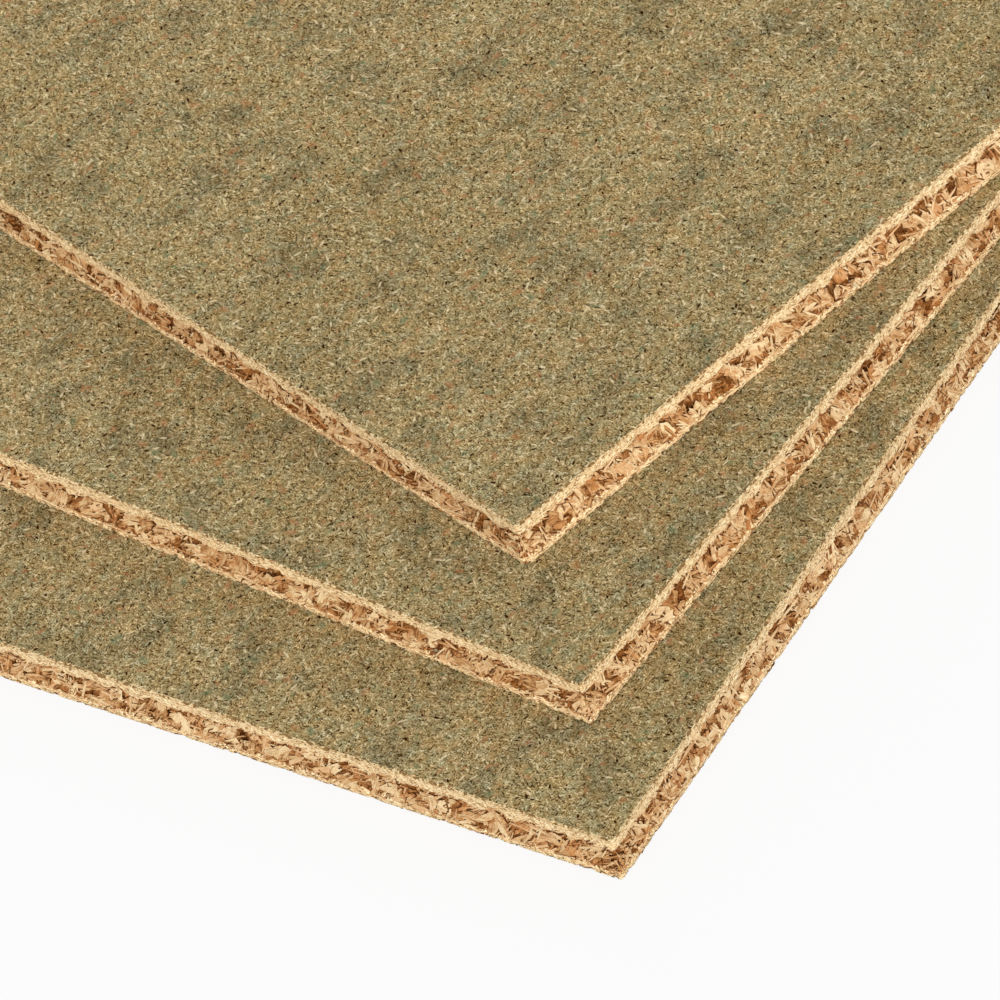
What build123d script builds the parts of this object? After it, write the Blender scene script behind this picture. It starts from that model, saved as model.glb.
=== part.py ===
from build123d import *

import os

# A loose stack of three square-edged chipboard flooring panels, fanned out about one corner.
# Millimetres. The origin is the middle of the bottom panel's underside, on the floor.
# +X runs along the bottom panel's length, +Y along its width, +Z up.
# The near corner of each panel is the one at its low X and low Y end.

# One panel, as it is sold
panel_length = 2400.0
panel_width = 600.0
panel_thickness = 22.0

# The saw leaves crisp edges, which handling crumbles a little
corner_radius = 2.0
arris_chamfer = 0.5

# How the middle panel lies on the bottom one: its near corner set back, and turned to the right
middle_setback_along = 46.7
middle_setback_across = 36.4
middle_angle = -4.7

# How the top panel lies on the middle one, seen the same way
top_setback_along = 40.4
top_setback_across = 53.5
top_angle = -10.85


def panel():
    """One pressed board with its near corner at the origin and its underside at Z = 0."""
    outline = RectangleRounded(
        panel_length, panel_width, corner_radius, align=(Align.MIN, Align.MIN)
    )
    board = extrude(outline, panel_thickness)
    faces = board.faces().sort_by(Axis.Z)
    arrises = faces[0].edges() + faces[-1].edges()
    return chamfer(arrises, arris_chamfer)


def laid_on(below, along, across, angle):
    """The place of a panel that lies flat on the panel at the place below."""
    return below * Location((along, across, panel_thickness), (0, 0, angle))


bottom_place = Location((-panel_length / 2, -panel_width / 2, 0))
middle_place = laid_on(
    bottom_place, middle_setback_along, middle_setback_across, middle_angle
)
top_place = laid_on(middle_place, top_setback_along, top_setback_across, top_angle)

places = {
    "panel_bottom": bottom_place,
    "panel_middle": middle_place,
    "panel_top": top_place,
}

os.makedirs("parts", exist_ok=True)
for name, place in places.items():
    export_step(place * panel(), f"parts/{name}.step")
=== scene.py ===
"""A loose stack of square-edged chipboard flooring panels, fanned out about one corner.

Each panel is one mesh. A closed skin follows the rounded outline of the board, and thousands of
small closed chips, cut flat by the saw, stand in its coarse core and in its finer outer layers.
"""

import math
from types import SimpleNamespace
from typing import NamedTuple

import bpy
import numpy as np
from bpy.props import FloatProperty, FloatVectorProperty, IntProperty, PointerProperty
from mathutils import Matrix, Vector


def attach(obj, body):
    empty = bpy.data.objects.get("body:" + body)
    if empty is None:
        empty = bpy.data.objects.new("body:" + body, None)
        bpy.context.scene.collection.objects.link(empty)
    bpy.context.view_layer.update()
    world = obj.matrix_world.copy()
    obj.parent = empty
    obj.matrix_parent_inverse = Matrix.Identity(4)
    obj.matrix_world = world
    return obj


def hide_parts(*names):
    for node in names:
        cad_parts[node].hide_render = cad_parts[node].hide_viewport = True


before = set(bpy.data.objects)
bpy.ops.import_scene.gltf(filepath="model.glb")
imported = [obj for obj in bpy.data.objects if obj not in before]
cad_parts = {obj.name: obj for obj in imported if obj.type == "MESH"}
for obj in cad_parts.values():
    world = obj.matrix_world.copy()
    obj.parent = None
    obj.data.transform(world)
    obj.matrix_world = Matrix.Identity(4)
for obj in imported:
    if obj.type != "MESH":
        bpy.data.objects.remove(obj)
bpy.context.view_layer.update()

bl_info = {
    "name": "Chipboard panel stack",
    "version": (1, 0, 0),
    "blender": (4, 5, 0),
    "location": "3D View > Sidebar > Chipboard",
    "description": "Makes fanned chipboard flooring panels with sawn, chippy edges",
    "category": "Add Mesh",
}

MM = 0.001
TURN = 2 * math.pi
PANELS = ("panel_bottom", "panel_middle", "panel_top")

# How far the pattern is shifted from one panel to the next, in mm
PATTERN_STEP = 1000.0

# How far the core's chips reach into the fine layers, in mm
CORE_OVERLAP = 0.8

# The order of a panel's materials in its mesh
FACE, FINE, GAP, CHIP = range(4)

# What tints the face: the hue of its patches, clouds of dyed resin and slow changes. Each is the
# length, width, detail and seed of streaks, and the colours of their values.
FACE_TINTS = (
    (7.0, 5.0, 3.0, 7.0, ((0.3, "eefaff"), (0.5, "fcfcf8"), (0.7, "fff5e6"))),
    (30.0, 20.0, 4.0, 6.0, ((0.32, "d8dcdc"), (0.41, "eef0f0"), (0.49, "fcfcfa"), (0.68, "fffffa"))),
    (130.0, 130.0, 2.0, 8.0, ((0.3, "f3f3f1"), (0.7, "ffffff"))),
)


class Flecks(NamedTuple):
    """A layer of flecks in the sanded face. Lengths are in mm."""

    seed: float
    cell: float  # one fleck for each such square
    length: float  # of the biggest, and the smallest are half as long and wide
    width: float
    kinds: tuple  # where each kind starts, from 0 to 1, its colour and how much it covers


FLECKS = (
    Flecks(9.0, 2.9, 2.9, 1.25, kinds=(
        (0.0, "bark", 1.0),
        (0.1, "bark", 0.6),
        (0.22, "orange_fleck", 0.25),
        (0.29, "orange_fleck", 0.0),
    )),
    Flecks(10.0, 4.0, 5.0, 1.3, kinds=(
        (0.0, "orange_fleck", 0.3),
        (0.14, "green_fleck", 0.25),
        (0.24, "face_pale", 0.55),
        (0.38, "face_pale", 0.0),
    )),
    Flecks(11.0, 8.0, 6.5, 3.4, kinds=(
        (0.0, "orange_fleck", 0.4),
        (0.2, "green_fleck", 0.5),
        (0.34, "green_fleck", 0.0),
    )),
)


def linear(colour):
    """Turns an sRGB hex colour such as "98845d" into linear red, green, blue and alpha."""
    parts = [int(colour[i : i + 2], 16) / 255 for i in (0, 2, 4)]
    return (
        *(c / 12.92 if c <= 0.04045 else ((c + 0.055) / 1.055) ** 2.4 for c in parts),
        1.0,
    )


def add(tree, kind, inputs=None, stops=(), **settings):
    """Adds a node with its settings, fills its inputs, by name or number, with values or links,
    and gives a colour ramp its stops, each a position, a colour and how much it covers."""
    node = tree.nodes.new(kind)
    for name, value in settings.items():
        setattr(node, name, value)
    for key, value in (inputs or {}).items():
        if isinstance(value, bpy.types.Node):
            value = next(out for out in value.outputs if out.enabled)
        if isinstance(value, bpy.types.NodeSocket):
            tree.links.new(value, node.inputs[key])
        else:
            node.inputs[key].default_value = value
    for number, (position, colour, cover) in enumerate(stops):
        elements = node.color_ramp.elements
        element = elements[number] if number < len(elements) else elements.new(1.0)
        element.position = position
        element.color = (*colour[:3], cover)
    return node


def streaks(tree, place, length, width, detail, seed):
    """Soft noise in streaks that are length by width mm, in the plane of the place."""
    spaced = add(tree, "ShaderNodeMapping", {
        "Vector": place,
        "Location": (31.7 * seed, 57.1 * seed, 0),
        "Scale": (1 / length, 1 / width, 1),
    })
    return add(
        tree,
        "ShaderNodeTexNoise",
        {"Vector": spaced, "Scale": 1.0, "Detail": detail, "Roughness": 0.55},
        noise_dimensions="2D",
    )


def slivers(tree, place, cell, length, width, seed, swing=TURN):
    """Scattered slivers, one in each random cell and each turned its own way within the swing,
    all sizes in mm. The biggest are length by width, and the smallest half of that.

    Gives how far a point is inside its sliver, 0 at the rim and 1 in the middle, and a random
    number for the sliver. In a cell of centre c, a point p is turned to q = R(angle)(p - c), and
    it is 1 - k sqrt((q.x / half length)^2 + (q.y / half width)^2) inside, for a k of 1 to 2.
    """
    spaced = add(tree, "ShaderNodeMapping", {
        "Vector": place,
        "Location": (13.7 * seed, 41.3 * seed, 0),
        "Scale": (1 / cell, 1 / cell, 0),
    })
    cells = add(
        tree,
        "ShaderNodeTexVoronoi",
        {"Vector": spaced, "Scale": 1.0, "Randomness": 1.0},
        voronoi_dimensions="2D",
    )
    away = add(
        tree,
        "ShaderNodeVectorMath",
        {0: spaced, 1: cells.outputs["Position"]},
        operation="SUBTRACT",
    )
    random = add(tree, "ShaderNodeSeparateColor", {"Color": cells.outputs["Color"]})
    angle = add(
        tree,
        "ShaderNodeMath",
        {0: random.outputs["Red"], 1: swing, 2: -swing / 2},
        operation="MULTIPLY_ADD",
    )
    turned = add(
        tree, "ShaderNodeVectorRotate", {"Vector": away, "Angle": angle}, rotation_type="Z_AXIS"
    )
    sized = add(
        tree,
        "ShaderNodeVectorMath",
        {0: turned, 1: (2 * cell / length, 2 * cell / width, 0)},
        operation="MULTIPLY",
    )
    reach = add(tree, "ShaderNodeVectorMath", {0: sized}, operation="LENGTH")
    less = add(
        tree,
        "ShaderNodeMath",
        {0: random.outputs["Blue"], 1: -1.0, 2: -1.0},
        operation="MULTIPLY_ADD",
    )
    inside = add(
        tree,
        "ShaderNodeMath",
        {0: reach.outputs["Value"], 1: less, 2: 1.0},
        operation="MULTIPLY_ADD",
        use_clamp=True,
    )
    return inside, random.outputs["Green"]


def pressed(tree, place, value, layers, swing=TURN):
    """A value that is covered by layers of slivers, each sliver with a random value of its own.
    A layer is the seed, cell, length and width of its slivers, and how much they cover."""
    for seed, cell, length, width, strength in layers:
        inside, pick = slivers(tree, place, cell, length, width, seed, swing)
        cover = add(tree, "ShaderNodeMapRange", {0: inside, 1: 0.0, 2: 0.3, 3: 0.0, 4: strength})
        value = add(tree, "ShaderNodeMix", {0: cover, 2: value, 3: pick}, data_type="FLOAT")
    return value


def new_material(name):
    """A material with an empty tree but for its output, and the pattern's place in mm."""
    material = bpy.data.materials.new(name)
    material.use_nodes = True
    tree = material.node_tree
    tree.nodes.clear()
    add(tree, "ShaderNodeOutputMaterial", name="output")
    place = add(tree, "ShaderNodeAttribute", attribute_name="pattern_mm").outputs["Vector"]
    return material, tree, place


def wear(tree):
    """How worn a point of the skin is, from 0 well off the arrises to 1 where one is broken."""
    look = add(tree, "ShaderNodeAttribute", attribute_name="chip_look").outputs["Vector"]
    return add(tree, "ShaderNodeSeparateXYZ", {0: look}).outputs[2]


def blend(first, second, share):
    """The colour a share of the way from the first colour to the second."""
    return tuple(a + (b - a) * share for a, b in zip(first, second))


def finish(tree, colour, roughness, height, depth_mm):
    """Closes a material with a wood shader, which hardly shines, and a bump of that depth."""
    bump = add(
        tree, "ShaderNodeBump", {"Height": height, "Strength": 1.0, "Distance": depth_mm * MM}
    )
    shader = add(tree, "ShaderNodeBsdfPrincipled", {
        "Base Color": colour,
        "Roughness": roughness,
        "Normal": bump,
        "IOR": 1.45,
        "Specular IOR Level": 0.03,
    })
    tree.links.new(shader.outputs[0], tree.nodes["output"].inputs["Surface"])


def sanded_face(colours):
    """The sanded face of moisture-resistant chipboard.

    The fine greenish-grey particles lie flat and are cut through by the sanding belt, so the eye
    sees a matt, crisp speckle of short slivers, with dark flecks of bark, pale ones and a few
    orange and green ones, and soft grey-green clouds where the dyed resin is stronger. Where an
    arris is worn, cream crumbs show.
    """
    material, tree, place = new_material("sanded_chipboard_face")
    base = streaks(tree, place, 0.62, 0.62, 2.0, 1.0)
    layers = ((2.0, 1.6, 4.2, 0.85, 0.62), (3.0, 1.05, 2.4, 0.85, 0.66))
    value = pressed(tree, place, base, layers)
    colour = add(tree, "ShaderNodeValToRGB", {0: value}, stops=(
        (0.13, colours.face_dark, 1),
        (0.28, blend(colours.face_dark, colours.face, 0.30), 1),
        (0.46, colours.face, 1),
        (0.68, blend(colours.face, colours.face_pale, 0.36), 1),
        (0.88, colours.face_pale, 1),
    ))
    for length, width, detail, seed, shades in FACE_TINTS:
        shade = add(
            tree,
            "ShaderNodeValToRGB",
            {0: streaks(tree, place, length, width, detail, seed)},
            stops=[(position, linear(tint), 1) for position, tint in shades],
        )
        inputs = {0: 1.0, 6: colour, 7: shade}
        colour = add(tree, "ShaderNodeMix", inputs, data_type="RGBA", blend_type="MULTIPLY")
    for seed, cell, length, width, kinds in FLECKS:
        inside, pick = slivers(tree, place, cell, length, width, seed)
        stops = [(start, getattr(colours, name), cover) for start, name, cover in kinds]
        tint = add(tree, "ShaderNodeValToRGB", {0: pick}, stops=stops)
        tint.color_ramp.interpolation = "CONSTANT"
        cover = add(tree, "ShaderNodeMapRange", {0: inside, 1: 0.0, 2: 0.4, 3: 0.0, 4: 1.0})
        cover = add(
            tree, "ShaderNodeMath", {0: cover, 1: tint.outputs["Alpha"]}, operation="MULTIPLY"
        )
        colour = add(tree, "ShaderNodeMix", {0: cover, 6: colour, 7: tint}, data_type="RGBA")
    crumb = add(
        tree,
        "ShaderNodeValToRGB",
        {0: value},
        stops=((0.15, colours.fine_gap, 1), (0.4, colours.fine, 1), (0.8, colours.fine_pale, 1)),
    )
    chance = add(
        tree,
        "ShaderNodeMath",
        {0: wear(tree), 1: 0.5, 2: streaks(tree, place, 1.3, 1.3, 1.0, 14.0)},
        operation="MULTIPLY_ADD",
    )
    cover = add(tree, "ShaderNodeMapRange", {0: chance, 1: 0.84, 2: 0.92, 3: 0.0, 4: 0.8})
    colour = add(tree, "ShaderNodeMix", {0: cover, 6: colour, 7: crumb}, data_type="RGBA")
    finish(tree, colour, 0.8, streaks(tree, place, 0.9, 0.9, 1.0, 13.0), 0.06)
    return material


def sawn_fine_layer(colours):
    """The fine outer layers of the board where the saw has cut them.

    Short slivers are pressed close, most of them lying along the face, so the eye sees a grainy,
    cream band. Towards the arris the dyed resin greys it, and crumbled spots are darkened with
    painted shade.
    """
    material, tree, place = new_material("sawn_fine_chipboard")
    grain = streaks(tree, place, 2.2, 0.8, 2.0, 1.0)
    layers = ((2.0, 1.3, 4.2, 0.9, 0.75), (3.0, 0.85, 2.4, 0.7, 0.8))
    value = pressed(tree, place, grain, layers, swing=1.1)
    worn = wear(tree)
    chance = add(
        tree,
        "ShaderNodeMath",
        {0: worn, 1: 0.8, 2: streaks(tree, place, 1.6, 1.1, 1.0, 5.0)},
        operation="MULTIPLY_ADD",
    )
    # Painted shade: crumbled spots near a broken arris are darkened as if shaded
    crumb_shade = add(tree, "ShaderNodeMapRange", {0: chance, 1: 1.02, 2: 1.16, 3: 0.0, 4: 0.65})
    value = add(
        tree, "ShaderNodeMath", {0: value, 1: crumb_shade}, operation="SUBTRACT", use_clamp=True
    )
    colour = add(tree, "ShaderNodeValToRGB", {0: value}, stops=(
        (0.08, colours.fine_gap, 1),
        (0.25, blend(colours.fine_gap, colours.fine, 0.45), 1),
        (0.42, colours.fine, 1),
        (0.62, blend(colours.fine, colours.fine_pale, 0.6), 1),
        (0.82, colours.fine_pale, 1),
    ))
    dyed = add(tree, "ShaderNodeMath", {0: worn, 1: 0.45}, operation="MULTIPLY")
    colour = add(tree, "ShaderNodeMix", {0: dyed, 6: colour, 7: colours.face}, data_type="RGBA")
    finish(tree, colour, 0.85, grain, 0.2)
    return material


def core_gap_shade(colours):
    """What shows between the chips of the core: the hollows, coloured dark orange-brown as painted
    shade."""
    material, tree, place = new_material("torn_core_hollow")
    value = streaks(tree, place, 2.5, 0.7, 3.0, 1.0)
    colour = add(tree, "ShaderNodeValToRGB", {0: value}, stops=(
        (0.3, colours.chip_dark, 1),
        (0.5, colours.hollow, 1),
        (0.7, blend(colours.hollow, colours.chip, 0.8), 1),
    ))
    finish(tree, colour, 0.9, value, 0.3)
    return material


def cut_chip(colours):
    """A chip of the core, cut through by the saw: spruce or pine from cream to orange-brown.

    The saw leaves it flat and matt, and the eye sees its grain as fine lines along the chip, with
    stretches of its rim darkened by painted shadow, mostly on its lower side. The look attribute
    holds its tone, with painted shade, how orange (or, below nothing, how grey-green) it is, and
    how near the rim is and how dark its painted shadow is.
    """
    material, tree, place = new_material("sawn_softwood_chip")
    look = add(tree, "ShaderNodeAttribute", attribute_name="chip_look").outputs["Vector"]
    look = add(tree, "ShaderNodeSeparateXYZ", {0: look})
    grain = streaks(tree, place, 4.0, 0.5, 3.0, 1.0)
    line = add(tree, "ShaderNodeMapRange", {0: grain, 1: 0.3, 2: 0.66, 3: -0.26, 4: 0.15})
    # Painted shadow: the rim value, raised to the fourth power, darkens the chip towards its shaded
    # side
    rim = add(tree, "ShaderNodeMath", {0: look.outputs[2], 1: 4.0}, operation="POWER")
    value = add(tree, "ShaderNodeMath", {0: look.outputs[0], 1: line}, operation="ADD")
    value = add(
        tree,
        "ShaderNodeMath",
        {0: rim, 1: -0.7, 2: value},
        operation="MULTIPLY_ADD",
        use_clamp=True,
    )
    colour = add(tree, "ShaderNodeValToRGB", {0: value}, stops=(
        (0.0, colours.chip_dark, 1),
        (0.2, blend(colours.chip_dark, colours.chip, 0.38), 1),
        (0.4, colours.chip, 1),
        (0.6, blend(colours.chip, colours.chip_pale, 0.42), 1),
        (0.8, blend(colours.chip, colours.chip_pale, 0.74), 1),
        (1.0, colours.chip_pale, 1),
    ))
    for side, tint, strength in ((1.0, colours.chip_orange, 0.4), (-1.0, colours.chip_dyed, 0.7)):
        cover = add(
            tree,
            "ShaderNodeMath",
            {0: look.outputs[1], 1: side * strength},
            operation="MULTIPLY",
            use_clamp=True,
        )
        colour = add(tree, "ShaderNodeMix", {0: cover, 6: colour, 7: tint}, data_type="RGBA")
    finish(tree, colour, 0.8, grain, 0.12)
    return material


class Outline:
    """The rounded rectangle of a board, followed anticlockwise by the distance s, in mm. s = 0 is
    the middle of the near corner's arc; s > 0 runs along the length, and s < 0 along the width.

    A point is p = c + (r - inset) n. c follows the rectangle that joins the arcs' centres and
    waits on each arc, and n turns on each arc and is steady along each side.
    """

    def __init__(self, length, width, radius):
        arc = radius * TURN / 4
        along, across = length - 2 * radius, width - 2 * radius
        self.length, self.width, self.radius = length, width, radius
        self.whole = 2 * (along + across) + 4 * arc
        steps = (arc / 2, along, arc, across, arc, along, arc, across, arc / 2)
        self.breaks = np.concatenate(([0.0], np.cumsum(steps)))
        left, right = radius, length - radius
        low, high = radius, width - radius
        self.x = (left, left, right, right, right, right, left, left, left, left)
        self.y = (low, low, low, low, high, high, high, high, low, low)
        self.turned = np.radians((225, 270, 270, 360, 360, 450, 450, 540, 540, 585))

    def at(self, s, inset, z):
        """Points at distance s, inset from the sawn edge, at height z, as an array of rows."""
        place = np.mod(s, self.whole)
        angle = np.interp(place, self.breaks, self.turned)
        out = self.radius - inset
        x = np.interp(place, self.breaks, self.x) + out * np.cos(angle)
        y = np.interp(place, self.breaks, self.y) + out * np.sin(angle)
        return np.stack(np.broadcast_arrays(x, y, z), axis=-1)

    def shrunk(self, points, inset):
        """Points drawn in towards the middle, so that the sides move in by the inset."""
        middle = np.array((self.length / 2, self.width / 2, 0.0))
        scale = (1 - 2 * inset / self.length, 1 - 2 * inset / self.width, 1.0)
        return middle + (points - middle) * scale


def board_frame(node):
    """The length, width and thickness of a panel in mm, and its place, from its node: its long
    axis is the principal axis of its points, and its near corner lies low along both axes."""
    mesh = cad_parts[node].data
    points = np.empty(len(mesh.vertices) * 3)
    mesh.vertices.foreach_get("co", points)
    points = np.unique(points.reshape(-1, 3).round(6), axis=0)
    long_axis = np.linalg.eigh(np.cov(points[:, :2].T))[1][:, 1]
    long_axis = long_axis * np.sign(long_axis[0])
    short_axis = np.array((-long_axis[1], long_axis[0]))
    along, across = points[:, :2] @ long_axis, points[:, :2] @ short_axis
    place = np.eye(4)
    place[:2, 0], place[:2, 1] = long_axis, short_axis
    place[:2, 3] = along.min() * long_axis + across.min() * short_axis
    place[2, 3] = points[:, 2].min()
    return np.ptp(along) / MM, np.ptp(across) / MM, np.ptp(points[:, 2]) / MM, place


def columns(outline, sizes):
    """Where the skin has its columns round the outline: close together near the corner that is
    seen best and on every arc, and far apart elsewhere."""
    start, last = sizes.fine_reach, outline.whole - sizes.fine_reach
    parts = [np.arange(-start, start, sizes.fine_step)]
    between = (outline.breaks > start) & (outline.breaks < last)
    for stop in (*outline.breaks[between], last):
        step = sizes.fine_step if stop - start < 4 * outline.radius else sizes.coarse_step
        count = max(2, round((stop - start) / step))
        parts.append(np.linspace(start, stop, count, endpoint=False))
        start = stop
    return np.concatenate(parts)


def bites(rng, s, whole, every, deepest):
    """How far the arris is broken away at each s: the largest of many round bites, of depth
    d (1 - ((s - centre) / half width)^2), never less than nothing."""
    count = round(whole / every)
    centre = rng.uniform(s.min(), s.min() + whole, count)
    half = rng.uniform(0.5, 2.0, count)
    depth = deepest * rng.uniform(0.1, 1.0, count) ** 3
    near = 1 - ((s[None, :] - centre[:, None]) / half[:, None]) ** 2
    return np.clip(depth[:, None] * near, 0, None).max(axis=0)


def drift(rng, period):
    """A slow random wave along the board, as a function of s: the sum of four sines, of periods
    about the given one in mm, scaled to spread by about 1."""
    periods = period * rng.uniform(0.5, 1.5, 4)
    phases = rng.uniform(0, TURN, 4)
    return lambda s: np.sin(TURN * s[..., None] / periods + phases).sum(axis=-1) / math.sqrt(2)


class Core:
    """What the core is like from place to place: the way its chips lean, its pits, where whole
    chips tore out near the corner that is seen best, its resin-stained stretches, which are more
    orange, set deeper and darkened with painted shade, and how its borders with the fine layers
    waver.

    A pit leans as the chips do. At a place that is u along it and v across it from its middle, it
    is 2 d (1 - (u / a)^2 - (v / b)^2) deep, never less than nothing nor more than d, and where
    two meet the deeper counts. The staining and painted shade at (s, z) is the sum of six waves
    sin(2 pi (s / p + z / q) + phase), scaled to spread by about 1.
    """

    def __init__(self, rng, sizes, whole, low, high):
        self.whole, self.leans = whole, (sizes.lean_left, sizes.lean_right)
        self.levels = (0.0, low, (low + high) / 2, high, sizes.thickness)
        self.pushes = (0.0, -sizes.waver / 2, 0.0, sizes.waver, 0.0)
        self.low_wave, self.high_wave = drift(rng, 11.0), drift(rng, 15.0)
        ends = sizes.fine_reach - 2 * sizes.pit_length
        right = np.arange(sizes.pit_length, ends, sizes.pit_spacing)
        left = -np.arange(sizes.pit_length, ends, 2 * sizes.pit_spacing)
        s = np.concatenate((right, left))
        self.s = s + rng.uniform(0, sizes.pit_spacing, len(s)) * np.sign(s)
        off_border = 3
        self.z = rng.uniform(low + off_border, high - off_border, len(s))
        self.half_length = sizes.pit_length / 2 * rng.uniform(0.4, 1.0, len(s))
        self.half_width = self.half_length * rng.uniform(0.35, 0.7, len(s))
        self.deep = sizes.pit_depth * rng.uniform(0.5, 1.0, len(s))
        self.tilt = self.lean(self.s) + rng.normal(0, 0.3, len(s))
        waves = 6
        self.period = sizes.stain_and_shade_period * rng.uniform(0.5, 2.0, waves)
        self.rise = sizes.stain_and_shade_period * rng.uniform(0.7, 2.0, waves) * rng.choice((-1, 1), waves)
        self.phase = rng.uniform(0, TURN, waves)

    def lean(self, s):
        """The usual tilt of the chips: the saw leaves them steep, leaning one way on the half of
        the outline to the left of the near corner and the other way on the half to its right."""
        return np.where(np.mod(s, self.whole) > self.whole / 2, *self.leans)

    def wavered(self, s, z):
        """Heights pushed up or down with the wavy borders of the core: most on a border, and not
        at all on the two faces or halfway between."""
        push = np.interp(z, self.levels, self.pushes)
        return z + push * np.where(push < 0, self.low_wave(s), self.high_wave(s))

    def pit(self, s, z):
        """How deep the pits are at places round the outline and heights."""
        s, z = np.broadcast_arrays(s, z)
        ahead, above = s[..., None] - self.s, z[..., None] - self.z
        cos, sin = np.cos(self.tilt), np.sin(self.tilt)
        far = ((ahead * cos + above * sin) / self.half_length) ** 2
        far = far + ((above * cos - ahead * sin) / self.half_width) ** 2
        return (self.deep * np.clip(2 * (1 - far), 0, 1)).max(axis=-1)

    def stain_and_shade(self, s, z):
        """How stained the chips are, and how much painted shade darkens them, about -2 to 2, at
        places round the outline and heights.
        """
        turns = s[..., None] / self.period + z[..., None] / self.rise
        return np.sin(TURN * turns + self.phase).sum(axis=-1) / math.sqrt(3)


def skin(rng, outline, thickness, core, sizes):
    """The board's skin: rows of points carried round the outline, each at its own inset and
    height. Gives the columns' places, the points, their heights, the rows' materials and how worn
    each point is: 0 off the arris, and on it 0.6 plus up to 0.4 where it is broken away."""
    s = columns(outline, sizes)
    arris, hollow = sizes.arris, sizes.hollow
    top_core = thickness - sizes.top_layer
    low_core = sizes.low_layer
    rows = (
        (sizes.face_rim, thickness, FACE, 0),
        (arris, thickness, FACE, 1),
        (arris * 0.4, thickness - arris * 0.4, FINE, 1),
        (0.0, thickness - arris, FINE, 1),
        (0.0, (thickness + top_core) / 2, FINE, 0),
        (0.0, top_core, FINE, 0),
        # These rows are the hollows between the core's chips, coloured with painted shade
        (0.45 * hollow, top_core - 1.6, GAP, 0),
        (hollow, (top_core + low_core) / 2, GAP, 0),
        (0.45 * hollow, low_core + 1.4, GAP, 0),
        (0.0, low_core, FINE, 0),
        (0.0, arris, FINE, 1),
        (arris * 0.4, arris * 0.4, FINE, 1),
        (arris, 0.0, FACE, 1),
        (sizes.face_rim, 0.0, FACE, 0),
    )
    inset, height = np.array(rows)[:, :2].T[..., None] + np.zeros(len(s))
    material, worn = np.array(rows)[:, 2:].T.astype(int)
    bite_top = bites(rng, s, outline.whole, 3.0, 0.7 * sizes.deepest_bite)
    bite_low = bites(rng, s, outline.whole, 2.2, sizes.deepest_bite)
    rough = np.abs(rng.normal(0, sizes.roughness, inset.shape))
    inset[1:-1] += rough[1:-1]
    inset[1:4] += bite_top * np.array((0.8, 0.8, 0.5))[:, None]
    height[2:4] -= bite_top * np.array((0.5, 0.7))[:, None]
    inset[-4:-1] += bite_low * np.array((0.5, 0.8, 0.8))[:, None]
    height[-4:-2] += bite_low * np.array((0.7, 0.5))[:, None]
    bite = np.where(height > thickness / 2, bite_top, bite_low)
    worn = worn[:, None] * (0.6 + 0.4 * np.clip(2 * bite / sizes.deepest_bite, 0, 1))
    height[5:10] = core.wavered(s, height[5:10] + rng.normal(0, 0.35, (5, len(s))))
    inset = np.minimum(inset, 0.95 * outline.radius)
    inset[6:9] += 1.15 * core.pit(s, height[6:9])
    return s, outline.at(s, inset, height), height, material, worn


class ChipKind(NamedTuple):
    """What one kind of chip is like. Lengths are in mm and angles in degrees."""

    cover: float  # area of the chips for each unit of sawn area
    half_length: tuple
    half_width: tuple
    corners: int
    depth: tuple  # of the front behind the sawn plane
    slope: float  # how far the front slopes over half the chip's size
    steep: float  # how much of the core's usual lean it has
    spread: float  # of its tilt about that
    tone: float  # 0 dark, 1 pale
    tone_spread: float
    hue: float  # how orange, at most
    dyed: float = 0.0  # share of chips that are soaked in dye


BROAD = ChipKind(1.1, (2.4, 6.5), (1.0, 2.8), 6, (0.0, 0.5), 0.12, 1.0, 26, 0.62, 0.13, 1.0)
BLADE = ChipKind(0.6, (2.4, 8.0), (0.3, 0.9), 6, (0.0, 0.45), 0.06, 1.0, 20, 0.65, 0.13, 0.9)
SMALL = ChipKind(0.4, (0.8, 2.8), (0.22, 0.7), 5, (0.0, 0.7), 0.08, 1.0, 34, 0.56, 0.2, 0.8, 0.003)
FLAT = ChipKind(0.14, (3.0, 8.0), (0.4, 1.1), 6, (0.0, 0.2), 0.06, 0.0, 16, 0.68, 0.12, 0.8)
# Painted shade: thin dark chips stand for the shade in cracks between the core's chips
CRACK_SHADE = ChipKind(0.04, (0.9, 3.2), (0.16, 0.45), 5, (0.0, 0.02), 0.0, 1.0, 22, 0.12, 0.06, 0.3)
SEAM = ChipKind(1.0, (1.2, 4.2), (0.3, 0.8), 5, (0.0, 0.3), 0.06, 0.5, 24, 0.77, 0.15, 0.6)
STRAND = ChipKind(0.4, (0.8, 3.0), (0.2, 0.5), 5, (0.0, 0.12), 0.03, 0.1, 16, 0.84, 0.16, 0.4)
DASH = ChipKind(0.15, (0.5, 1.8), (0.14, 0.36), 5, (0.0, 0.02), 0.0, 0.1, 16, 0.2, 0.12, 0.3)
FAR = ChipKind(1.3, (2.8, 8.0), (0.9, 2.4), 5, (0.05, 0.6), 0.12, 1.0, 24, 0.6, 0.15, 1.0)


def chip_outlines(rng, count, corners):
    """Points round each chip, in shares of its half length and half width: a blunt ellipse,
    x = sign |cos|^0.6 and y = sign |sin|^0.6 at jittered angles, with a jittered radius."""
    step = TURN / corners
    angle = (np.arange(corners) + rng.uniform(-0.35, 0.35, (count, corners))) * step
    radius = rng.uniform(0.7, 1.1, (count, corners))
    x, y = np.cos(angle), np.sin(angle)
    x = np.sign(x) * np.abs(x) ** 0.6 * radius
    y = np.sign(y) * np.abs(y) ** 0.6 * radius
    return x, y


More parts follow.
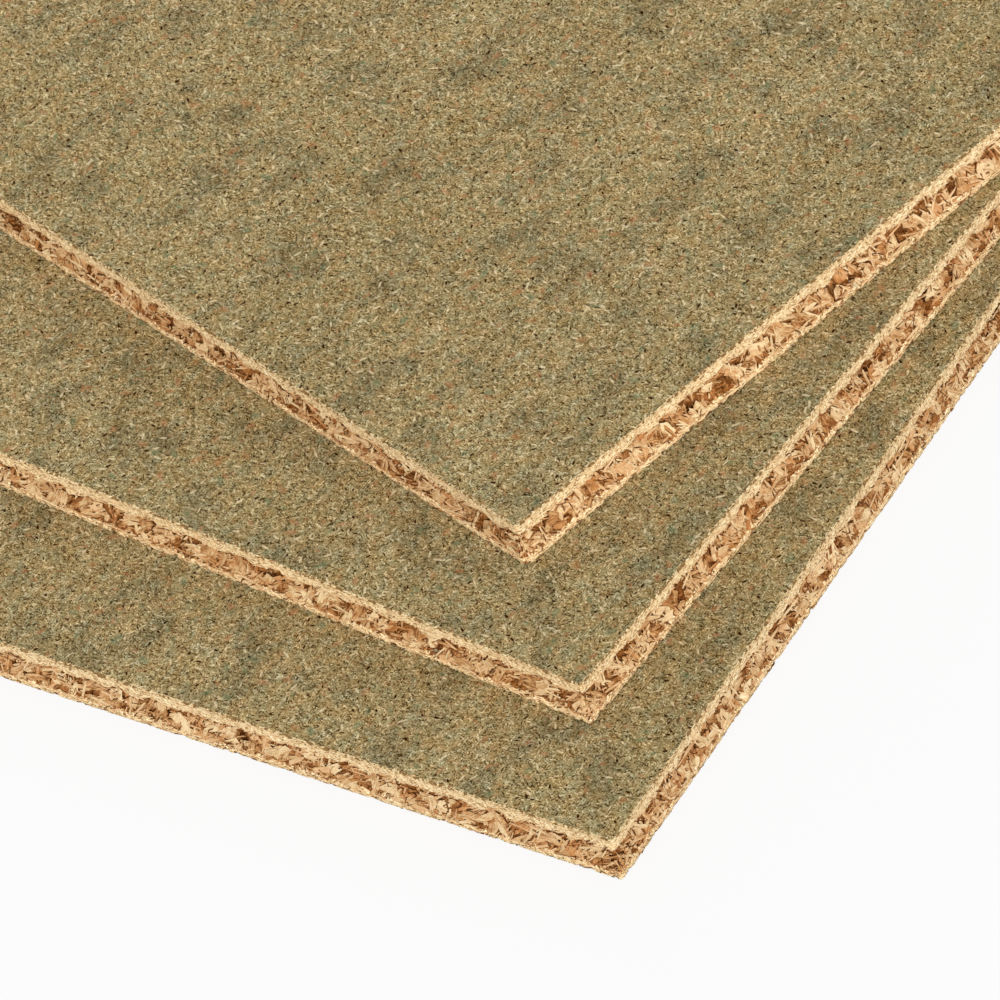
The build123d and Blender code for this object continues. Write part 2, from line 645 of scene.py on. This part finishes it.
class Chips:
    """Cut chips of one kind between two heights and two distances round the outline. Each has a
    painted shadow along part of its rim, mostly the lower side, and painted shade across it for its
    lean.

    A chip's point (u, v) lies at s = s0 + u cos t - v sin t and z = z0 + u sin t + v cos t, for
    its tilt t, and its front is the plane inset = d + l y + m x, in which x and y are the point's
    shares of the half length and half width. A chip in a pit is set back by the pit's depth.
    """

    def __init__(self, rng, kind, core, low, high, start, stop):
        area = (stop - start) * (high - low)
        mean_area = 2.6 * np.mean(kind.half_length) * np.mean(kind.half_width)
        count = int(kind.cover * area / mean_area)
        half_length = rng.uniform(*kind.half_length, count)
        half_width = rng.uniform(*kind.half_width, count)
        self.s0 = rng.uniform(start, stop, count)
        stray = 0.5 * drift(rng, 25.0)(self.s0) + 0.85 * rng.normal(0, 1, count)
        tilt = kind.steep * core.lean(self.s0) + np.radians(kind.spread) * stray
        rise = np.abs(half_length * np.sin(tilt)) + np.abs(half_width * np.cos(tilt))
        room = (high - low) / 2
        shrink = np.minimum(1.0, 1.05 * room / rise)
        half_length, half_width, rise = half_length * shrink, half_width * shrink, rise * shrink
        middle = np.minimum(0.75 * rise, 0.95 * room)
        self.z0 = core.wavered(self.s0, rng.uniform(low + middle, high - middle))
        x, y = chip_outlines(rng, count, kind.corners)
        self.u = x * half_length[:, None]
        self.v = y * half_width[:, None]
        cos, sin = np.cos(tilt)[:, None], np.sin(tilt)[:, None]
        self.s = self.s0[:, None] + self.u * cos - self.v * sin
        self.z = self.z0[:, None] + self.u * sin + self.v * cos
        slope = kind.slope * np.clip(rng.normal(0, 1, (2, count)), -2, 2)
        pit = core.pit(self.s0, self.z0)
        stain_and_shade = core.stain_and_shade(self.s0, self.z0)
        shallow = rng.uniform(*kind.depth, count) + 0.3 * kind.hue * np.clip(stain_and_shade, 0, 2)
        self.front = shallow + np.abs(slope).sum(axis=0) * 0.5 + pit
        self.inset = self.front[:, None] + slope[0][:, None] * y + slope[1][:, None] * x
        self.inset = np.maximum(self.inset, kind.depth[0] * 0.5)
        tone = kind.tone + kind.tone_spread * rng.normal(0, 1, count)
        # Painted shade: a chip is darker the further it is set back, the deeper its pit and the more
        # stained its stretch, as if shaded
        tone -= 0.35 * shallow + 0.2 * pit + 0.16 * kind.hue * stain_and_shade
        self.tone = np.clip(tone, 0.05, 1.0)[:, None]
        # Painted shade: the tone grades across the chip, lighter on one side and darker on the other,
        # for its lean to the light
        self.lean_shaded_tone = self.tone + rng.normal(0, 0.12, (count, 1)) * y
        hue = rng.uniform(0, 1, count) ** 2 + 0.35 * stain_and_shade
        hue = np.clip(hue, 0, 1) * kind.hue
        hue[rng.uniform(size=count) < kind.dyed] = -1.0
        self.hue = hue[:, None]
        # Painted shadow: the rim darkens on one side of each chip, mostly the lower one, as if in
        # shade
        shadow_side = rng.normal(-TURN / 4, 0.9, (count, 1))
        self.rim = 0.7 * (x * np.cos(shadow_side) + y * np.sin(shadow_side)) + rng.uniform(-0.2, 0.6, x.shape)
        self.rim = np.clip(self.rim, 0, 1)


class Board:
    """Gathers the faces of one panel before its mesh is made."""

    def __init__(self, shift):
        self.points, self.corners, self.sizes = [], [], []
        self.material, self.pattern, self.look = [], [], []
        self.count = 0
        self.shift = shift

    def add_points(self, points):
        """Adds points and gives the number of the first."""
        first = self.count
        self.points.append(points.reshape(-1, 3))
        self.count += len(self.points[-1])
        return first

    def add_faces(self, corners, material, pattern, look=(0.5, 0.0, 0.0)):
        """Adds faces of one corner count: corners is faces by corners, with the pattern's place
        in two numbers and the look in three for each corner. The board's shift moves the
        pattern, so that no two panels have the same one."""
        faces, each = corners.shape
        pattern = pattern + np.array((1.0, 0.37)) * self.shift
        pattern = np.concatenate((pattern, np.zeros_like(pattern[..., :1])), axis=-1)
        self.corners.append(corners.ravel())
        self.sizes.append(np.full(faces, each))
        self.material.append(np.broadcast_to(material, faces))
        self.pattern.append(pattern.reshape(-1, 3))
        self.look.append(np.broadcast_to(look, (faces, each, 3)).reshape(-1, 3))

    def mesh(self, name, place, materials):
        """The finished flat-shaded mesh, in metres and in its place."""
        parts = (self.points, self.sizes, self.corners, self.material, self.pattern, self.look)
        points, sizes, corners, material, pattern, look = (np.concatenate(part) for part in parts)
        mesh = bpy.data.meshes.new(name)
        world = points * MM @ place[:3, :3].T + place[:3, 3]
        mesh.vertices.add(len(world))
        mesh.vertices.foreach_set("co", world.ravel())
        mesh.loops.add(len(corners))
        mesh.loops.foreach_set("vertex_index", corners)
        mesh.polygons.add(len(sizes))
        starts = np.concatenate(([0], np.cumsum(sizes)[:-1]))
        mesh.polygons.foreach_set("loop_start", starts)
        mesh.polygons.foreach_set("material_index", material)
        for one in materials:
            mesh.materials.append(one)
        for label, values in (("pattern_mm", pattern), ("chip_look", look)):
            layer = mesh.attributes.new(label, "FLOAT_VECTOR", "CORNER")
            layer.data.foreach_set("vector", values.ravel())
        mesh.update(calc_edges=True)
        mesh.validate()
        mesh.shade_flat()
        return mesh


def add_skin(board, rng, outline, thickness, core, sizes):
    """Adds the closed skin of a panel to its board: quads between neighbouring rows and columns,
    then the two faces."""
    s, points, height, material, worn = skin(rng, outline, thickness, core, sizes)
    rows, count = height.shape
    first = board.add_points(points)
    row, column = (grid.ravel() for grid in np.indices((rows - 1, count)))
    after = (column + 1) % count
    corners = (
        row * count + column,
        (row + 1) * count + column,
        (row + 1) * count + after,
        row * count + after,
    )
    corners = np.stack(corners, axis=1)
    fine = (material[row] == FINE) | (material[row + 1] == FINE)
    of_face = np.where(fine, FINE, material[row])
    ring = np.append(s, s[0] + outline.whole)
    along = np.stack((ring[column], ring[column], ring[column + 1], ring[column + 1]), axis=1)
    sawn = np.stack((along, height.ravel()[corners]), axis=-1)
    flat = points.reshape(-1, 3)[corners][..., :2]
    pattern = np.where((of_face == FACE)[:, None, None], flat, sawn)
    look = np.zeros((len(corners), 4, 3))
    look[..., 2] = worn.ravel()[corners]
    board.add_faces(first + corners, of_face, pattern, look)
    add_face(board, outline, points[0], first, sizes, 1)
    add_face(board, outline, points[-1], first + (rows - 1) * count, sizes, -1)


def add_face(board, outline, rim, first, sizes, side):
    """Adds the flat face inside a rim of points, numbered from first, that looks up for side 1
    and down for side -1.

    A ring of fewer points, drawn in from the rim, takes its place, with a fan of triangles from
    each of its points to the rim and one triangle on to the next. After a few such rings, one
    point on the line along the middle of the board closes the face.
    """
    for inset in sizes.face_rings:
        count = len(rim)
        inner = outline.shrunk(rim[:: sizes.ring_share], inset)
        inner_first = board.add_points(inner)
        here = np.arange(count)
        hub = here // sizes.ring_share
        fans = np.stack((first + here, first + (here + 1) % count, inner_first + hub), axis=1)
        last = np.arange(len(inner))
        after = (last + 1) % len(inner)
        meet = first + (after * sizes.ring_share) % count
        links = np.stack((meet, inner_first + after, inner_first + last), axis=1)
        both = np.concatenate((rim, inner))
        for corners in (fans, links):
            local = np.where(corners >= inner_first, corners - inner_first + count, corners - first)
            board.add_faces(corners[:, ::side], FACE, both[local][:, ::side, :2])
        rim, first = inner, inner_first
    middle = outline.shrunk(rim[:1], outline.width / 2)
    centre = board.add_points(middle)
    here = np.arange(len(rim))
    after = (here + 1) % len(rim)
    corners = np.stack((first + here, first + after, np.full_like(here, centre)), axis=1)
    flat = np.stack((rim, rim[after], np.broadcast_to(middle, rim.shape)), axis=1)
    board.add_faces(corners[:, ::side], FACE, flat[:, ::side, :2])


def add_chips(board, rng, outline, chips, sizes):
    """Adds chips to a panel's board. Each is a ring of points joined in fans to its middle, in
    the plane of its front, and to a point behind."""
    count, n = chips.s.shape
    ring = outline.at(chips.s, chips.inset, np.clip(chips.z, 0.05, sizes.thickness - 0.05))
    middle = ring.mean(axis=1)
    behind = outline.at(chips.s0, chips.front + sizes.chip_depth, chips.z0)
    all_points = np.concatenate((ring, middle[:, None, :], behind[:, None, :]), axis=1)
    first = board.add_points(all_points)
    base = first + np.arange(count)[:, None] * (n + 2)
    here = np.arange(n)
    after = (here + 1) % n
    shift = rng.uniform(0, 500, (count, 1, 1))
    place = np.stack((chips.u, chips.v), axis=-1) + shift
    hub_place = np.broadcast_to(place.mean(axis=1, keepdims=True), place.shape)
    hue = np.broadcast_to(chips.hue, (count, n))
    # The ring's look carries the painted lean shade and the painted shadow on the rim
    look = np.stack((chips.lean_shaded_tone, hue, chips.rim), axis=-1)
    bare = np.zeros((count, n))
    front_look = np.stack((np.broadcast_to(chips.tone, (count, n)), hue, bare), axis=-1)
    # Painted shade: the chip's sides darken towards the point behind it, to 0.3 of its tone
    shaded_back_look = front_look * (0.3, 1, 1)
    front = (base + here, base + after, np.broadcast_to(base + n, (count, n)))
    back = (base + after, base + here, np.broadcast_to(base + n + 1, (count, n)))
    for corners, order, hub_look in (
        (front, (here, after), front_look),
        (back, (after, here), shaded_back_look),
    ):
        pattern = np.stack((place[:, order[0]], place[:, order[1]], hub_place), axis=2)
        looks = np.stack((look[:, order[0]], look[:, order[1]], hub_look), axis=2)
        board.add_faces(
            np.stack(corners, axis=-1).reshape(-1, 3),
            CHIP,
            pattern.reshape(-1, 3, 2),
            looks.reshape(-1, 3, 3),
        )


def make_panel(node, number, sizes, materials):
    """The mesh of a panel, worked out in mm and put in its node's place. Each kind of chip lies
    between two heights: the core's from low to high, the others about its borders."""
    rng = np.random.default_rng(sizes.seed + number)
    length, width, thickness, place = board_frame(node)
    sizes.thickness = thickness
    outline = Outline(length, width, sizes.radius)
    low = sizes.low_layer - CORE_OVERLAP
    high = thickness - sizes.top_layer + CORE_OVERLAP
    core = Core(rng, sizes, outline.whole, low, high)
    board = Board(PATTERN_STEP * number)
    add_skin(board, rng, outline, thickness, core, sizes)
    bands = (
        *((kind, low, high) for kind in (BROAD, BLADE, SMALL, FLAT, CRACK_SHADE)),
        (SEAM, low - 1.1, low + 2.4),
        (SEAM, high - 2.6, high + 1.6),
        (STRAND, 0.5, low + 2.0),
        (STRAND, high - 1.0, thickness - 0.8),
        (DASH, 0.3, low + 1.2),
    )
    reach = sizes.fine_reach
    stretches = [(*band, -reach, reach) for band in bands]
    stretches.append((FAR, low, high, reach, outline.whole - reach))
    for kind, *span in stretches:
        add_chips(board, rng, outline, Chips(rng, kind, core, *span), sizes)
    return board.mesh(node.replace("panel", "chipboard_panel"), place, materials)


def in_mm(settings):
    """The values of a settings group, its lengths turned to mm."""
    values = {}
    for name in settings.__annotations__:
        value = getattr(settings, name)
        is_length = settings.bl_rna.properties[name].unit == "LENGTH"
        values[name] = value / MM if is_length else value
    return SimpleNamespace(**values)


def length_property(label, description, size_mm):
    """A setting that is a length, given in mm and kept in metres."""
    return FloatProperty(
        name=label, description=description, default=size_mm * MM, unit="LENGTH", precision=5
    )


def angle_property(label, description, degrees):
    """A setting that is an angle, given in degrees and kept in radians."""
    return FloatProperty(
        name=label, description=description, default=math.radians(degrees), subtype="ANGLE"
    )


class PanelSettings(bpy.types.PropertyGroup):
    """Sizes of a panel's sawn edges."""

    radius: length_property("Corner radius", "How much the saw and wear round a corner", 2.0)
    arris: length_property("Arris", "Width of the crumbled arris", 0.35)
    roughness: length_property("Roughness", "How uneven the sawn skin is", 0.08)
    deepest_bite: length_property("Deepest bite", "Deepest piece missing from an arris", 1.3)
    top_layer: length_property("Upper fine layer", "Thickness of the fine layer above", 4.8)
    low_layer: length_property("Lower fine layer", "Thickness of the fine layer below", 2.3)
    waver: length_property("Waver", "How far the layers' borders go up and down", 0.9)
    hollow: length_property("Hollow", "Depth of the gaps between core chips", 1.6)
    pit_spacing: length_property("Pit spacing", "Between pits on the long side", 22.0)
    pit_length: length_property("Pit length", "Length of the longest pit", 13.0)
    pit_depth: length_property("Pit depth", "Depth of the deepest pit", 3.4)
    # Painted shade: the stained stretches are also set deeper and darkened as if shaded
    stain_and_shade_period: length_property("Stain period", "From one stained stretch to the next", 14.0)
    lean_left: angle_property("Lean, left", "Tilt of chips left of the near corner", 48.0)
    lean_right: angle_property("Lean, right", "Tilt of chips right of the near corner", -60.0)
    chip_depth: length_property("Chip depth", "How far a chip reaches into the board", 1.0)
    face_rim: length_property("Face rim", "Width of the first ring of each face", 1.7)
    fine_step: length_property("Fine step", "Column spacing near the corner", 0.8)
    coarse_step: length_property("Coarse step", "Column spacing elsewhere", 6.0)
    fine_reach: length_property("Fine reach", "How far the fine stretch goes", 340.0)
    ring_share: IntProperty(
        name="Ring share", description="Points of a face's ring for each one inside", default=8
    )
    face_rings: FloatVectorProperty(
        name="Face rings", description="Insets of a face's rings, in mm", default=(8.0, 60.0), size=2
    )
    seed: IntProperty(name="Seed", description="Start of the random draws", default=11)


def colour_property(label, description, colour):
    """A setting that is a colour, given as an sRGB hex colour and kept linear."""
    return FloatVectorProperty(
        name=label,
        description=description,
        default=linear(colour),
        size=4,
        min=0.0,
        max=1.0,
        subtype="COLOR",
    )


class ColourSettings(bpy.types.PropertyGroup):
    """Colours of the panels and of the floor."""

    face: colour_property("Face", "Usual colour of the sanded face", "9a855a")
    face_dark: colour_property("Face, dark", "Darkest slivers of the face", "3c2400")
    face_pale: colour_property("Face, pale", "Palest slivers of the face", "f2deb4")
    bark: colour_property("Bark", "Flecks of bark in the face", "301200")
    orange_fleck: colour_property("Orange fleck", "Rusty flecks in the face", "b0744a")
    green_fleck: colour_property("Green fleck", "Dyed green flecks in the face", "6c7a58")
    fine: colour_property("Fine layer", "Usual colour of the sawn fine layers", "dfb984")
    fine_gap: colour_property("Fine layer, dark", "Gaps in the fine layers", "6a421a")
    fine_pale: colour_property("Fine layer, pale", "Palest strands of the fine layers", "fbe8bd")
    chip: colour_property("Chip", "Usual colour of the core's darker chips", "bc8a56")
    # Chip, dark is also what the painted shadow on the chips' rims and the deepest painted shade
    # reach
    chip_dark: colour_property("Chip, dark", "Darkest rims and chips of the core", "4c2203")
    chip_pale: colour_property("Chip, pale", "Palest chips of the core", "f3d8a9")
    chip_orange: colour_property("Chip, orange", "What stained chips lean to", "d98d4f")
    chip_dyed: colour_property("Chip, dyed", "A few chips soaked in green dye", "474c3c")
    # Hollow is painted shade: the dark colour of the hollows between the core's chips
    hollow: colour_property("Hollow", "Torn wood between the core's chips", "8e5524")
    floor: colour_property("Floor", "Paint of the studio floor", "9a9a9a")


class CHIPBOARD_OT_panels(bpy.types.Operator):
    """Make the panels, each with a sanded face and sawn edges"""

    bl_idname = "chipboard.panels"
    bl_label = "Make panels"

    def execute(self, context):
        """Builds one mesh for each panel and hides the plain solid that it stands for."""
        sizes = in_mm(context.scene.chipboard_panels)
        colours = context.scene.chipboard_colours
        makers = (sanded_face, sawn_fine_layer, core_gap_shade, cut_chip)
        materials = [make(colours) for make in makers]
        for number, node in enumerate(PANELS):
            mesh = make_panel(node, number, sizes, materials)
            piece = bpy.data.objects.new(mesh.name, mesh)
            context.scene.collection.objects.link(piece)
            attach(piece, "root")
            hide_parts(node)
        return {"FINISHED"}


class StageSettings(bpy.types.PropertyGroup):
    """The camera and the light."""

    azimuth: angle_property("Azimuth", "Way the camera looks, from +X", 41.53)
    elevation: angle_property("Elevation", "How far the camera looks down", 44.74)
    roll: angle_property("Roll", "Turn of the picture", 15.06)
    distance: length_property("Distance", "From the camera to the aim", 2986.4)
    aim: FloatVectorProperty(
        name="Aim",
        description="Point that the camera looks at",
        default=(-1.0987, -0.2006, 0.066),
        subtype="TRANSLATION",
    )
    lens: FloatProperty(name="Lens", description="Focal length", default=288.0, unit="CAMERA")
    sky: FloatProperty(name="Sky", description="Strength of the even light", default=0.63)
    key: FloatProperty(name="Key", description="Strength of the front lamp", default=2.9)
    key_way: FloatVectorProperty(
        name="Key direction",
        description="Way in which the front lamp shines",
        default=(0.65, 0.635, -0.415),
        subtype="DIRECTION",
    )
    fill: FloatProperty(name="Fill", description="Strength of the back lamp", default=0.9)
    fill_way: FloatVectorProperty(
        name="Fill direction",
        description="Way in which the back lamp shines",
        default=(-0.7, -0.69, -0.16),
        subtype="DIRECTION",
    )
    softness: angle_property("Softness", "How wide each lamp looks", 40.0)


def make_floor(scene, colour):
    """A wide floor, just under the panels, that keeps the stack's shadow. It is painted grey, so
    that it lights the lowest edges no more than the others, and to the camera alone it is mostly
    white of itself."""
    half, level = 30.0, -0.0001
    mesh = bpy.data.meshes.new("studio_floor")
    corners = ((-half, -half, level), (half, -half, level), (half, half, level), (-half, half, level))
    mesh.from_pydata(corners, [], [(0, 1, 2, 3)])
    material, tree, _ = new_material("white_studio_floor")
    seen = add(tree, "ShaderNodeLightPath").outputs["Is Camera Ray"]
    own_share, own_strength = 0.6, 1.4
    share = add(tree, "ShaderNodeMath", {0: seen, 1: own_share}, operation="MULTIPLY")
    painted = add(tree, "ShaderNodeBsdfDiffuse", {"Color": colour})
    white = add(tree, "ShaderNodeEmission", {"Color": (1, 1, 1, 1), "Strength": own_strength})
    mixed = add(tree, "ShaderNodeMixShader", {0: share, 1: painted, 2: white})
    tree.links.new(mixed.outputs[0], tree.nodes["output"].inputs["Surface"])
    mesh.materials.append(material)
    floor = bpy.data.objects.new("studio_floor", mesh)
    scene.collection.objects.link(floor)


def make_light(scene, stage):
    """An even sky, plain white to the camera, a soft lamp from the camera's side, so that the
    sawn edges are as bright as the faces, and a weak low one behind, for the far edges."""
    world = bpy.data.worlds.new("studio")
    world.use_nodes = True
    tree = world.node_tree
    tree.nodes.clear()
    seen = add(tree, "ShaderNodeLightPath").outputs["Is Camera Ray"]
    strength = add(tree, "ShaderNodeMapRange", {0: seen, 3: stage.sky, 4: 1.0})
    sky = add(tree, "ShaderNodeBackground", {"Color": (1, 1, 1, 1), "Strength": strength})
    add(tree, "ShaderNodeOutputWorld", {"Surface": sky})
    scene.world = world
    for name, strength, way in (
        ("soft_key", stage.key, stage.key_way),
        ("back_fill", stage.fill, stage.fill_way),
    ):
        light = bpy.data.lights.new(name, "SUN")
        light.energy = strength
        light.angle = stage.softness
        lamp = bpy.data.objects.new(name, light)
        lamp.rotation_euler = Vector(way).to_track_quat("-Z", "Y").to_euler()
        scene.collection.objects.link(lamp)


def make_camera(scene, stage):
    """A long lens that looks down on the near corner, with the picture turned by the roll."""
    level = math.cos(stage.elevation)
    across, along = math.cos(stage.azimuth), math.sin(stage.azimuth)
    ahead = Vector((across * level, along * level, -math.sin(stage.elevation)))
    right = Vector((along, -across, 0.0))
    up = right.cross(ahead)
    picture_right = right * math.cos(stage.roll) - up * math.sin(stage.roll)
    picture_up = right * math.sin(stage.roll) + up * math.cos(stage.roll)
    data = bpy.data.cameras.new("photo_view")
    data.lens = stage.lens
    data.sensor_width = 36.0
    camera = bpy.data.objects.new("photo_view", data)
    scene.collection.objects.link(camera)
    place = Matrix((picture_right, picture_up, -ahead)).transposed().to_4x4()
    place.translation = Vector(stage.aim) - ahead * stage.distance
    camera.matrix_world = place
    scene.camera = camera


class CHIPBOARD_OT_stage(bpy.types.Operator):
    """Make the floor, the light and the camera"""

    bl_idname = "chipboard.stage"
    bl_label = "Make stage"

    def execute(self, context):
        """Builds the stage."""
        scene = context.scene
        scene.view_settings.view_transform = "Standard"
        make_floor(scene, scene.chipboard_colours.floor)
        make_light(scene, scene.chipboard_stage)
        make_camera(scene, scene.chipboard_stage)
        return {"FINISHED"}


class CHIPBOARD_PT_tools(bpy.types.Panel):
    """The settings and buttons that make the stack"""

    bl_idname = "CHIPBOARD_PT_tools"
    bl_label = "Chipboard stack"
    bl_space_type = "VIEW_3D"
    bl_region_type = "UI"
    bl_category = "Chipboard"

    def draw(self, context):
        """Lists the settings and the buttons."""
        layout = self.layout
        scene = context.scene
        for group in (scene.chipboard_panels, scene.chipboard_colours, scene.chipboard_stage):
            for name in group.__annotations__:
                layout.prop(group, name)
        layout.operator("chipboard.panels")
        layout.operator("chipboard.stage")


CLASSES = (
    PanelSettings,
    ColourSettings,
    StageSettings,
    CHIPBOARD_OT_panels,
    CHIPBOARD_OT_stage,
    CHIPBOARD_PT_tools,
)


def register():
    """Registers the classes and their settings."""
    for one in CLASSES:
        bpy.utils.register_class(one)
    bpy.types.Scene.chipboard_panels = PointerProperty(type=PanelSettings)
    bpy.types.Scene.chipboard_colours = PointerProperty(type=ColourSettings)
    bpy.types.Scene.chipboard_stage = PointerProperty(type=StageSettings)


def unregister():
    """Takes the classes and their settings away again."""
    del bpy.types.Scene.chipboard_stage
    del bpy.types.Scene.chipboard_colours
    del bpy.types.Scene.chipboard_panels
    for one in reversed(CLASSES):
        bpy.utils.unregister_class(one)


def main():
    """Makes the stack and its stage."""
    register()
    bpy.ops.chipboard.panels()
    bpy.ops.chipboard.stage()


if __name__ == "__main__":
    main()
